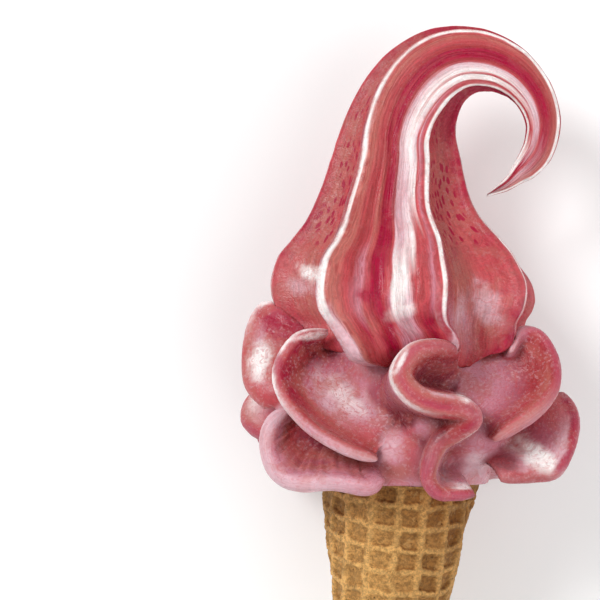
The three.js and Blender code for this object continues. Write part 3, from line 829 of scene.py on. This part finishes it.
def plume_colours(channels, shares, ridges, gaps, rise, flow, points):
    """The ripple's colours: bands down the front face, mottled red on the others, pale ridges; with painted
    highlights on the ridges and in dabs, and painted shade beside the overhanging ridges.
    """
    middle = np.sin(np.pi * shares)
    wander = 0.012 * noise(flow * (70, 40, 1) + (0, 0, 3), 1) + 0.018 * noise(flow * (90, 1400, 1), 2)
    across = 100 * np.clip(shares + wander * middle, 0, 1)
    level = rise + 0.05 * noise(flow * (120, 700, 1), 4)
    colours = banded(OTHER_CHANNELS, level, across)
    for channel, rows in CHANNEL_COLOURS.items():
        here = channels == channel
        colours[here] = banded(rows, level[here], across[here])
    mottle = turbulence(flow * (260, 420, 1) + (0, 0, 7), 3, 5) * np.array(CHANNEL_GRAIN)[channels]
    colours = mix(colours, paint("crimson"), smoothstep(mottle, 0.4, 1.0)[:, None] * 0.5)
    colours = mix(colours, paint("tan"), smoothstep(-mottle, 0.3, 1.0)[:, None] * 0.4)
    colours = dabbed(colours, points, channels, PLUME_DABS)
    half = np.zeros(len(gaps))
    for ridge in range(len(CHANNEL_DEPTH)):
        here = ridges == ridge
        half[here] = np.interp(rise[here], *np.array(RIDGE_LINES.get(ridge, OTHER_LINES)).T)
    # the white line along each ridge: pale cream with a painted highlight
    line = smoothstep(half * (1 + 0.2 * noise(flow * (120, 0, 1), 3)) - gaps, -0.25, 0.25)
    crest = mix(paint("pale"), paint("white"), smoothstep(rise, 0.28, 0.4)[:, None])
    return mix(colours, crest, line[:, None])


# ---- the ruffle


def fold_skin(fold, lengthwise, depthwise, over):
    """A fold's closed skin as a grid, with how far each point is from the rim, and how far along it."""
    lines = [fold["rim"], fold["root"], [[t] for t in fold["thick"]]]
    rim, root, thickness = (smooth_line(line, lengthwise) for line in lines)
    v = np.linspace(0, 1, depthwise)
    sheet = mix(root[:, None], rim[:, None], v[:, None])
    sheet = sheet + np.sin(np.pi * v)[:, None] * np.array(fold["belly"], float)
    off_middle = np.abs(np.linspace(-1, 1, lengthwise))[:, None]
    half = thickness / 2 * np.maximum(END_THICKNESS, np.sqrt(1 - off_middle**END_ROUNDNESS))
    outward = np.gradient(sheet, axis=1)
    normals = unit(np.cross(np.gradient(sheet, axis=0), outward))
    side = normals * (half * mix(FOOT_THICKNESS, 1, np.sqrt(v)))[:, :, None]
    angles = np.linspace(0, np.pi, over + 2)[1:-1]
    edge = sheet[:, -1:] + normals[:, -1:] * (half * np.cos(angles))[:, :, None]
    edge = edge + unit(outward[:, -1:]) * (half * np.sin(angles))[:, :, None]
    grid = np.concatenate([sheet + side, edge, (sheet - side)[:, ::-1]], axis=1)
    steps = np.linalg.norm(np.diff(sheet, axis=1), axis=2)
    from_rim = np.hstack([np.cumsum(steps[:, ::-1], axis=1)[:, ::-1], 0 * half]) + half * np.pi / 2
    offset = np.hstack([from_rim, half * (np.pi / 2 - angles), -from_rim[:, ::-1]])
    facing = 1 if normals[:, depthwise // 2 :, 2].mean() < 0 else -1
    return grid, facing * offset, np.repeat(running_length(rim)[:, None], grid.shape[1], axis=1)


def ruffle_skins(sections):
    """Every skin of the ruffle, with its look and its two coordinates."""
    skins = []
    for name, fold in FOLDS.items():
        grid, offset, along = fold_skin(fold, sections * len(fold["rim"]), depthwise=22, over=9)
        skins.append((name, grid, offset, along))
        for other, turn, reach, shift in BACK_FOLDS:
            if other == name:
                place = turning(BACK_TILT, 1, 2) @ turning(turn, 0, 2) @ np.diag([reach, 1, reach])
                skins.append((name, grid @ place.T + (0, shift, 0), offset, along))
    along, radius, across = np.array(CORE, float).T[:, :, None]
    for grid in [*(ball(*bulge) for bulge in BULGES), turned(along, radius, across)]:
        skins.append(("core", grid, np.full(grid.shape[:2], CORE_OFFSET), grid[:, :, 1]))
    return skins


def nearest_skin(piece, skins):
    """For each point of the fused ruffle: the number of its skin, and its place on that skin."""
    points = np.vstack([placed(grid) for _, grid, _, _ in skins])
    tree = KDTree(len(points))
    for i, point in enumerate(points):
        tree.insert(point, i)
    tree.balance()
    found = [tree.find(point)[1] for point in points_of(piece)]
    offset = np.concatenate([skin[2].ravel() for skin in skins])[found]
    along = np.concatenate([skin[3].ravel() for skin in skins])[found]
    return np.repeat(range(len(skins)), [skin[2].size for skin in skins])[found], offset, along


def fused(name, skins, voxel):
    """One closed piece from overlapping skins."""
    vertices, faces = [], []
    for _, grid, _, _ in skins:
        skin_vertices, skin_faces = loft(grid)
        faces += [tuple(len(vertices) + i for i in face) for face in skin_faces]
        vertices += placed(skin_vertices).tolist()
    piece = new_object(name, vertices, faces)
    remesh = piece.modifiers.new("Fuse", "REMESH")
    remesh.mode = "VOXEL"
    remesh.voxel_size = voxel
    smooth = piece.modifiers.new("Soften", "SMOOTH")
    smooth.factor = 0.5
    smooth.iterations = 3
    apply_modifiers(piece)
    return piece


def cut_away(piece, grid):
    """Takes a neighbour's room out of a piece."""
    cutter = lofted("room", grid)
    cut = piece.modifiers.new("Room", "BOOLEAN")
    cut.operation = "DIFFERENCE"
    cut.solver = "MANIFOLD"
    cut.object = cutter
    apply_modifiers(piece)
    bpy.data.objects.remove(cutter)


def ruffle_colours(numbers, offset, share, flow, points, skins):
    """The ripple's colours over the folds, with their painted highlights and painted shade, and how mottled
    they are.
    """
    wander = 0.9 * noise(flow * (0.14, 0.1, 1), 11) + 0.5 * noise(flow * (0.5, 0.5, 1), 12)
    wander = (wander + 0.4 * noise(flow * (1.6, 0.8, 1), 13)) * smoothstep(np.abs(offset), 0, 5)
    colours, grain = np.zeros((len(offset), 3)), np.zeros(len(offset))
    for number, (name, *_) in enumerate(skins):
        here = numbers == number
        colours[here] = banded(FOLD_COLOURS[name], share[here], (offset + wander)[here])
        grain[here] = FOLD_GRAIN[name]
    names = np.array([name for name, *_ in skins])[numbers]
    colours = dabbed(colours, points, names, FOLD_DABS)
    patch = turbulence(points / MM * 0.3, 3, 21) * grain
    colours = mix(colours, paint("coral"), smoothstep(patch, 0.3, 1.0)[:, None] * 0.4)
    return colours, grain * mix(0.5, 1, smoothstep(np.abs(offset - 2), 2, 5))


# ---- the cone


def waffle_depth(across, along, looks):
    """How deep the surface lies in the waffle squares, and how dark they are baked."""
    place = np.stack([across, along, 0 * along], axis=-1)
    column = across / looks.square_across + 0.08 * noise(place * 0.2, 71) + 0.035 * noise(place * 0.9, 72)
    row = along / looks.square_along + 0.1 * noise(place * 0.2, 73) + 0.04 * noise(place * 0.9, 74)
    towards_side = np.abs(column - np.floor(column) - 0.5) * 2
    towards_tip = (row - np.floor(row) - 0.5) * 2
    half_across = 1 - looks.rib / looks.square_across
    half_along = 1 - looks.rib / looks.square_along
    inside = smoothstep(half_across + 0.15 - towards_side, 0, 0.4)
    pocket = inside * smoothstep(half_along + 0.12 - np.abs(towards_tip), 0, 0.26)
    cell = np.stack([np.floor(column), np.floor(row), 0 * row], axis=-1) + 0.37
    bite = 0.5 + 0.5 * noise(cell * 3.7, 5)
    crack = hump(towards_tip, half_along, 0.09) * smoothstep(inside, 0.4, 0.9) * smoothstep(bite, 0.3, 0.6)
    depth = (pocket * mix(0.5, 1.15, bite) + 0.3 * crack) * looks.square_depth
    return depth, pocket * mix(0.45, 1.0, bite) + 0.9 * crack


def cone_grid(looks, rows, around):
    """The rolled sheet's skin, how dark each place is baked, and its share of the way up the cone."""
    alpha = math.radians(looks.half_angle)
    length = looks.mouth_radius / math.tan(alpha)
    tip_centre = looks.tip_radius / math.sin(alpha)
    start = tip_centre * math.cos(alpha) ** 2
    lifts = np.radians(np.linspace(-88, -looks.half_angle - 4, 12))
    wall = np.linspace(start, length, rows)
    along = np.append(tip_centre + looks.tip_radius * np.sin(lifts), wall)[:, None]
    radius = np.append(looks.tip_radius * np.cos(lifts), wall * math.tan(alpha))[:, None]
    share = along / length
    turn = np.linspace(0, 1, around)
    seam = looks.seam_at_mouth + looks.seam_turn * (1 - share)
    angle = seam + 360 * turn * (1 - 0.004 * (turn > 0.999))
    slant = length / math.cos(alpha)
    distance = np.hypot(along, radius)
    on_sheet = np.radians(90 - angle) * math.sin(alpha)
    up_sheet = slant - distance * np.cos(on_sheet) + 0.3 * looks.square_along
    depth, baked = waffle_depth(distance * np.sin(on_sheet), up_sheet, looks)
    near_edge = np.minimum(turn, 1 - turn) * 2 * np.pi * radius
    keep = smoothstep(near_edge, 0.5, 2.5) * smoothstep(slant - distance, 3, 6)
    keep = keep * smoothstep(distance, looks.plain_tip - 4, looks.plain_tip + 2)
    crumb = np.stack([angle * radius * 0.0175, along + 0 * angle, 0 * angle], axis=-1)
    rough = 0.2 * turbulence(crumb * 0.9, 3, 31) + 0.25 * noise(crumb * 0.12, 35)
    lift = looks.edge_lift * hump(turn, 0, 0.012) * smoothstep(share, 0.1, 0.3)
    step = looks.sheet * np.minimum(1, share + 0.25)
    reach = radius - step * turn - depth * keep + rough * smoothstep(share, 0.02, 0.1) + lift
    reach = np.maximum(reach, 0.05)
    angle = np.radians(angle)
    grid = np.stack([reach * np.cos(angle), along + 0 * reach, reach * np.sin(angle)], axis=-1)
    return grid, baked * keep, share


def placed_cone(grid, looks):
    """From the apex at the origin and the axis up Y to the cone's place under the ruffle."""
    length = looks.mouth_radius / math.tan(math.radians(looks.half_angle))
    points = (grid - (0, length, 0)) @ turning(-looks.lean, 0, 1).T
    return points + (looks.mouth_across, looks.mouth_along, 0)


def cone_blank(looks, grow):
    """A plain cone a little larger than the wafer, to take its room out of the ruffle."""
    slope = math.tan(math.radians(looks.half_angle))
    along = np.array([[0.5], [1.0]]) * looks.mouth_radius / slope
    return placed_cone(turned(along, along * slope + grow, around=96), looks)


# ---- settings


def setting(name, description, default, kind=FloatProperty, **more):
    return kind(name=name, description=description, default=default, **more)


def colour_setting(name, description, default):
    return setting(name, description, default, FloatVectorProperty, subtype="COLOR", min=0, max=1)


class ConeLooks(bpy.types.PropertyGroup):
    """Sizes in millimetres and colours of the wafer cone."""

    mouth_across: setting("Mouth across", "Centre of the rim, across", -2.1)
    mouth_along: setting("Mouth along", "Centre of the rim, along", -16.5)
    mouth_radius: setting("Mouth radius", "Radius of the rim", 25.6)
    tip_radius: setting("Tip radius", "Radius of the rounded tip", 3.2)
    half_angle: setting("Half angle", "Degrees between the cone's axis and its side", 11.6)
    lean: setting("Lean", "Degrees that the cone leans off the ice cream's axis", 5.4)
    sheet: setting("Sheet", "Thickness of the wafer", 1.3)
    seam_at_mouth: setting("Seam at mouth", "Degrees round to where the seam meets the rim", 45)
    seam_turn: setting("Seam turn", "Degrees that the seam travels to the tip", -150)
    edge_lift: setting("Edge lift", "How far the sheet's outer edge stands off", 0.35)
    square_across: setting("Square across", "Pitch of the waffle squares round the cone", 8.4)
    square_along: setting("Square along", "Pitch of the waffle squares along the cone", 6.7)
    rib: setting("Rib", "Width left standing between squares", 2.0)
    square_depth: setting("Square depth", "Depth of the waffle squares", 1.3)
    plain_tip: setting("Plain tip", "Length without squares at the tip", 26)
    rib_toast: colour_setting("Rib toast", "Wafer on the ribs", (0.97, 0.75, 0.45))
    square_toast: colour_setting("Square toast", "Wafer in the squares", (0.58, 0.37, 0.16))
    golden: colour_setting("Golden", "Pale golden crumb", (0.88, 0.70, 0.45))
    brown: colour_setting("Brown", "Baked brown", (0.56, 0.37, 0.17))
    scorched: colour_setting("Scorched", "Dark pores", (0.25, 0.13, 0.05))


class RuffleLooks(bpy.types.PropertyGroup):
    """Sizes and gloss of the ruffle."""

    voxel: setting("Fineness", "Cells that fuse the folds", 0.00075, unit="LENGTH", precision=5)
    sections: setting("Sections", "Sections for each point of a fold's rim", 14, IntProperty)
    wettest: setting("Wettest", "Roughness where it is moist", 0.2)
    driest: setting("Driest", "Roughness where it is dull", 0.44)
    depth: setting("Depth", "Share of light that goes under the surface", 0.25)
    streaks: setting("Streaks", "Strength of the fine lengthwise streaks", 0.5)
    crumbs: setting("Crumbs", "Strength of the pale crumbs", 0.5)


class PlumeLooks(bpy.types.PropertyGroup):
    """Fineness and gloss of the plume."""

    stations: setting("Sections", "Sections along the plume", 280, IntProperty)
    edge_points: setting("Ridge points", "Points over a ridge's edge", 7, IntProperty)
    striation: setting("Striation", "Height of the fine streaks, in millimetres", 0.16)
    wettest: setting("Wettest", "Roughness where it is moist", 0.2)
    driest: setting("Driest", "Roughness where it is dull", 0.42)
    depth: setting("Depth", "Share of light that goes under the surface", 0.22)
    streaks: setting("Streaks", "Strength of the fine lengthwise streaks", 1.0)
    crumbs: setting("Crumbs", "Strength of the pale crumbs", 0.15)


class StageLooks(bpy.types.PropertyGroup):
    """The photographer's floor, lights and camera."""

    floor: colour_setting("Floor", "Colour of the floor", (0.93, 0.93, 0.93))
    glow: setting("Glow", "Light of the floor itself, which softens shadows", 0.14)
    view_across: setting("View across", "Middle of the picture, across, in millimetres", -32.4)
    view_along: setting("View along", "Middle of the picture, along, in millimetres", 21.6)
    distance: setting("Distance", "Camera above the axis", 2.0, unit="LENGTH")
    lens: setting("Lens", "Focal length", 400.0, unit="CAMERA")
    key: setting("Key light", "Strength from above left", 1.9)
    fill: setting("Fill light", "Strength from the right", 1.15)
    sky: setting("Sky", "Strength of the light from all round", 0.5)


# ---- operators


class SOFTSERVE_OT_cone(bpy.types.Operator):
    """Make the rolled wafer cone"""

    bl_idname = "softserve.cone"
    bl_label = "Wafer Cone"

    def execute(self, context):
        looks = context.scene.cone_looks
        grid, pocket, share = cone_grid(looks, rows=290, around=318)
        piece = lofted("wafer_cone", placed_cone(grid, looks))
        # darker towards the mouth: toast, and painted shade under the ruffle
        near_mouth = smoothstep(share, 0.75, 1.0)
        # painted shade: darker to the right, away from the key light
        painted_shade_to_right = smoothstep(grid[:, :, 0], -8, 22)
        darker = np.clip(0.6 * pocket + 0.45 * near_mouth + 0.4 * painted_shade_to_right, 0, 1).ravel()[:, None]
        toast = with_ends(mix(np.array(rgba(looks.rib_toast)), np.array(rgba(looks.square_toast)), darker))
        finish_piece(piece, "cone", "wafer", wafer_material(looks), toast=toast)
        return {"FINISHED"}


class SOFTSERVE_OT_ruffle(bpy.types.Operator):
    """Make the ruffle of folded ribbon"""

    bl_idname = "softserve.ruffle"
    bl_label = "Ruffle"

    def execute(self, context):
        looks = context.scene.ruffle_looks
        skins = ruffle_skins(looks.sections)
        piece = fused("ruffle_folds", skins, looks.voxel)
        move_points(piece, np.maximum(points_of(piece), ABOVE_FLOOR))
        cut_away(piece, plume_grid(stations_count=70, edge_count=3, fineness=0.25, grow=0.3)[0])
        cut_away(piece, cone_blank(context.scene.cone_looks, grow=0.4))

        numbers, *place = nearest_skin(piece, skins)
        offset, along = relax(piece, np.stack(place, axis=1), 4).T
        flow = np.stack([along, offset, numbers * 7.0], axis=1)
        folds = np.array([FOLD_WRINKLES.get(skin[0], 0.12) for skin in skins])[numbers]
        wrinkle = 0.1 * noise(flow * (0.3, 1.3, 1), 41)
        wrinkle += folds * noise(flow * (0.75, 0.1, 1), 42) * smoothstep(-offset, 2, 7)
        points = points_of(piece)
        off_floor = points[:, 2] > 0.001
        move_points(piece, points + points_of(piece, "normal") * (wrinkle * MM * off_floor)[:, None])
        length = np.array([skin[3].max() for skin in skins])[numbers]
        colours, grain = ruffle_colours(numbers, offset, along / length, flow, points, skins)
        seam = np.abs(relax(piece, numbers[:, None], 6)[:, 0] - numbers)
        colours = mix(colours, relax(piece, colours, 6), smoothstep(seam, 0, 0.25)[:, None])
        # painted shade in the creases and a painted highlight on the crests
        ripple = np.hstack([paint_crease_shade_and_crest_highlight(colours, hollows(piece, 100)), grain[:, None]])
        material = ice_cream_material("ruffle_ice_cream", looks)
        finish_piece(piece, "ruffle", "ruffle_ice", material, ripple=ripple, flow=flow * MM)
        return {"FINISHED"}


class SOFTSERVE_OT_plume(bpy.types.Operator):
    """Make the ridged plume with its curl"""

    bl_idname = "softserve.plume"
    bl_label = "Plume"

    def execute(self, context):
        looks = context.scene.plume_looks
        grid, channels, shares, ridges, gaps, rise = plume_grid(looks.stations, looks.edge_points)
        rows, around = grid.shape[:2]
        piece = lofted("plume_swirl", grid)
        along = running_length(plume_stations(looks.stations)[0])[:, None]
        flow = np.broadcast_arrays(along, 30.0 * shares + 40.0 * channels, 9.0 * channels)
        flow = np.stack(flow, axis=-1).reshape(-1, 3) * MM
        rises, gaps = np.repeat(rise, around), gaps.ravel()
        channels, shares, ridges = (np.tile(values, rows) for values in (channels, shares, ridges))
        grain = np.array(CHANNEL_GRAIN)[channels] * mix(0.65, 1, smoothstep(rises, 0.5, 0.62))
        grain = grain * mix(0.6, 1, smoothstep(gaps, 1.0, 2.5))
        colours = plume_colours(channels, shares, ridges, gaps, rises, flow, placed(grid))
        streaks = noise(flow / MM * (0.08, 1.6, 1), 51) + 0.6 * noise(flow / MM * (0.5, 0.9, 1), 52)
        height = looks.striation * MM * np.append(streaks * (1.2 - grain), [0, 0])[:, None]
        move_points(piece, points_of(piece) + points_of(piece, "normal") * height)
        # painted shade in the creases and a painted highlight on the crests
        colours = paint_crease_shade_and_crest_highlight(with_ends(colours), 0.6 * hollows(piece, 60))
        ripple = np.hstack([colours, np.append(grain, [1, 1])[:, None]])
        material = ice_cream_material("plume_ice_cream", looks)
        finish_piece(piece, "plume", "plume_ice", material, ripple=ripple, flow=with_ends(flow))
        return {"FINISHED"}


def soft_light(name, power, spread, place):
    """Even light from a broad source far away, which looks towards the middle of the stage."""
    data = bpy.data.lights.new(name, "SUN")
    data.energy = power
    data.angle = math.radians(spread)
    light = bpy.data.objects.new(name, data)
    light.location = place
    light.rotation_euler = (-Vector(place)).to_track_quat("-Z", "Y").to_euler()
    bpy.context.scene.collection.objects.link(light)


class SOFTSERVE_OT_stage(bpy.types.Operator):
    """Set up the floor, the lights and the camera"""

    bl_idname = "softserve.stage"
    bl_label = "Stage"

    def execute(self, context):
        looks = context.scene.stage_looks
        half = 3.0
        corners = [(-half, -half, 0), (half, -half, 0), (half, half, 0), (-half, half, 0)]
        floor = new_object("studio_floor", corners, [(0, 1, 2, 3)])
        floor.data.materials.append(Nodes("floor_paper").surface({
            "Base Color": rgba(looks.floor),
            "Roughness": 0.9,
            "Emission Color": (1.0, 1.0, 1.0, 1.0),
            "Emission Strength": looks.glow,
        }))

        world = bpy.data.worlds.new("studio_air")
        world.use_nodes = True
        background = world.node_tree.nodes["Background"].inputs
        background["Strength"].default_value = looks.sky
        background["Color"].default_value = (1, 1, 1, 1)
        context.scene.world = world
        soft_light("key_light", looks.key, 22, (-0.9, 0.8, 1.4))
        soft_light("fill_light", looks.fill, 60, (0.9, -0.5, 1.3))

        lens = bpy.data.cameras.new("view")
        lens.lens = looks.lens
        lens.sensor_width = 36.0
        camera = bpy.data.objects.new("view", lens)
        target = placed([looks.view_across, looks.view_along + REST_ALONG, 0])[0]
        camera.location = (target[0], target[1], target[2] + looks.distance)
        context.scene.collection.objects.link(camera)
        context.scene.camera = camera
        context.scene.view_settings.view_transform = "Standard"
        return {"FINISHED"}


class SOFTSERVE_PT_panel(bpy.types.Panel):
    """Lists the pieces in the sidebar"""

    bl_idname = "SOFTSERVE_PT_panel"
    bl_label = "Soft Serve"
    bl_space_type = "VIEW_3D"
    bl_region_type = "UI"
    bl_category = "Soft Serve"

    def draw(self, context):
        for name, looks in LOOKS.items():
            box = self.layout.box()
            box.operator("softserve." + name)
            for size in looks.__annotations__:
                box.prop(getattr(context.scene, name + "_looks"), size)


LOOKS = {"stage": StageLooks, "cone": ConeLooks, "ruffle": RuffleLooks, "plume": PlumeLooks}
CLASSES = [
    *LOOKS.values(), SOFTSERVE_OT_stage, SOFTSERVE_OT_cone, SOFTSERVE_OT_ruffle, SOFTSERVE_OT_plume,
    SOFTSERVE_PT_panel,
]


def register():
    for kind in CLASSES:
        bpy.utils.register_class(kind)
    for name, looks in LOOKS.items():
        setattr(bpy.types.Scene, name + "_looks", PointerProperty(type=looks))


def unregister():
    for name in LOOKS:
        delattr(bpy.types.Scene, name + "_looks")
    for kind in reversed(CLASSES):
        bpy.utils.unregister_class(kind)


def main():
    register()
    bpy.ops.softserve.stage()
    bpy.ops.softserve.cone()
    bpy.ops.softserve.ruffle()
    bpy.ops.softserve.plume()


if __name__ == "__main__":
    main()
